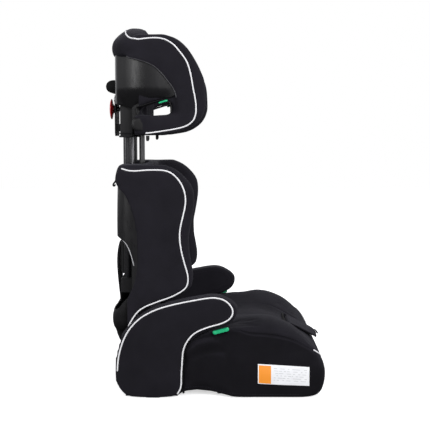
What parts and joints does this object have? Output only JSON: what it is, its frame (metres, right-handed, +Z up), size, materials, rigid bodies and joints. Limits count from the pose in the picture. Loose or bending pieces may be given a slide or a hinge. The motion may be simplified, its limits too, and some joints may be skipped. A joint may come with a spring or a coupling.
{
  "type": "booster seat",
  "caption": "High-back child booster car seat with padded side wings, curved armrests, a height-adjustable winged headrest on two tubes and a backrest that tilts on its hinge.",
  "frame": {"origin": "on the ground in the mid-plane, on the flat underside of the base's middle rib", "axes": "+Z up, the child faces -Y, +X to the child's left"},
  "size_m": [0.43, 0.464, 0.7485],
  "materials": {
    "black_plastic": "satin moulded",
    "gloss_black_tube": "gloss black lacquer",
    "black_fabric": "fine knit with white piping",
    "grey_foam": "open-cell foam",
    "zinc_steel": "zinc plated",
    "red_plastic": "satin",
    "green_plastic": "satin",
    "label_fabric": "printed woven tape, plain"
  },
  "bodies": {
    "base": {"adjuster_flap": "black_fabric", "armrest_cover_left": "black_fabric", "armrest_cover_right": "black_fabric", "armrest_foam_left": "grey_foam", "armrest_foam_right": "grey_foam", "armrest_frame_left": "black_plastic", "armrest_frame_right": "black_plastic", "armrest_screw_left_1": "zinc_steel", "armrest_screw_left_2": "zinc_steel", "armrest_screw_right_1": "zinc_steel", "armrest_screw_right_2": "zinc_steel", "base_shell": "black_plastic", "care_label": "label_fabric", "hinge_axle": "zinc_steel", "lap_belt_guide_left": "green_plastic", "lap_belt_guide_right": "green_plastic", "seat_cover": "black_fabric", "seat_foam": "grey_foam"},
    "backrest": {"backrest_cover": "black_fabric", "backrest_foam": "grey_foam", "back_panel": "black_plastic", "rear_trim": "black_plastic", "lower_rear_cover": "black_plastic", "lower_rail_bar": "black_plastic", "upper_rail_bar": "black_plastic", "height_rack": "zinc_steel", "rack_housing": "black_plastic", "spine_strip": "black_plastic", "cover_hook_left": "black_plastic", "cover_hook_right": "black_plastic", "hinge_hook_left": "black_plastic", "hinge_hook_right": "black_plastic", "hook_screw_left": "zinc_steel", "hook_screw_right": "zinc_steel", "rail_screw_left": "zinc_steel", "rail_screw_right": "zinc_steel", "rail_tube_left": "gloss_black_tube", "rail_tube_right": "gloss_black_tube", "tube_plug_left": "black_plastic", "tube_plug_right": "black_plastic"},
    "headrest": {"headrest_cover": "black_fabric", "headrest_shell": "black_plastic", "headrest_foam": "grey_foam", "headrest_carrier": "black_plastic", "slide_plate": "black_plastic", "lock_plate": "black_plastic", "lock_spring": "zinc_steel", "rear_grip": "black_plastic", "belt_guide_left": "black_plastic", "belt_guide_right": "black_plastic", "belt_marker_left": "green_plastic", "belt_marker_right": "green_plastic", "cover_tab_left": "black_plastic", "cover_tab_right": "black_plastic", "shell_screw_left": "zinc_steel", "shell_screw_right": "zinc_steel"},
    "lock_knob": {"lock_knob": "red_plastic", "lock_pin": "zinc_steel", "pin_collar": "zinc_steel"}
  },
  "joints": [
    {"name": "backrest_recline", "type": "hinge", "parent": "base", "child": "backrest", "pos_m": [0, 0.165, 0.1], "axis": [-1, 0, 0], "range_deg": [0, 15]},
    {"name": "headrest_height", "type": "slide", "parent": "backrest", "child": "headrest", "axis": [0, 0, 1], "range_m": [-0.03, 0.06]},
    {"name": "lock_release", "type": "slide", "parent": "headrest", "child": "lock_knob", "axis": [0, 1, 0], "range_m": [-0.0055, 0]}
  ]
}
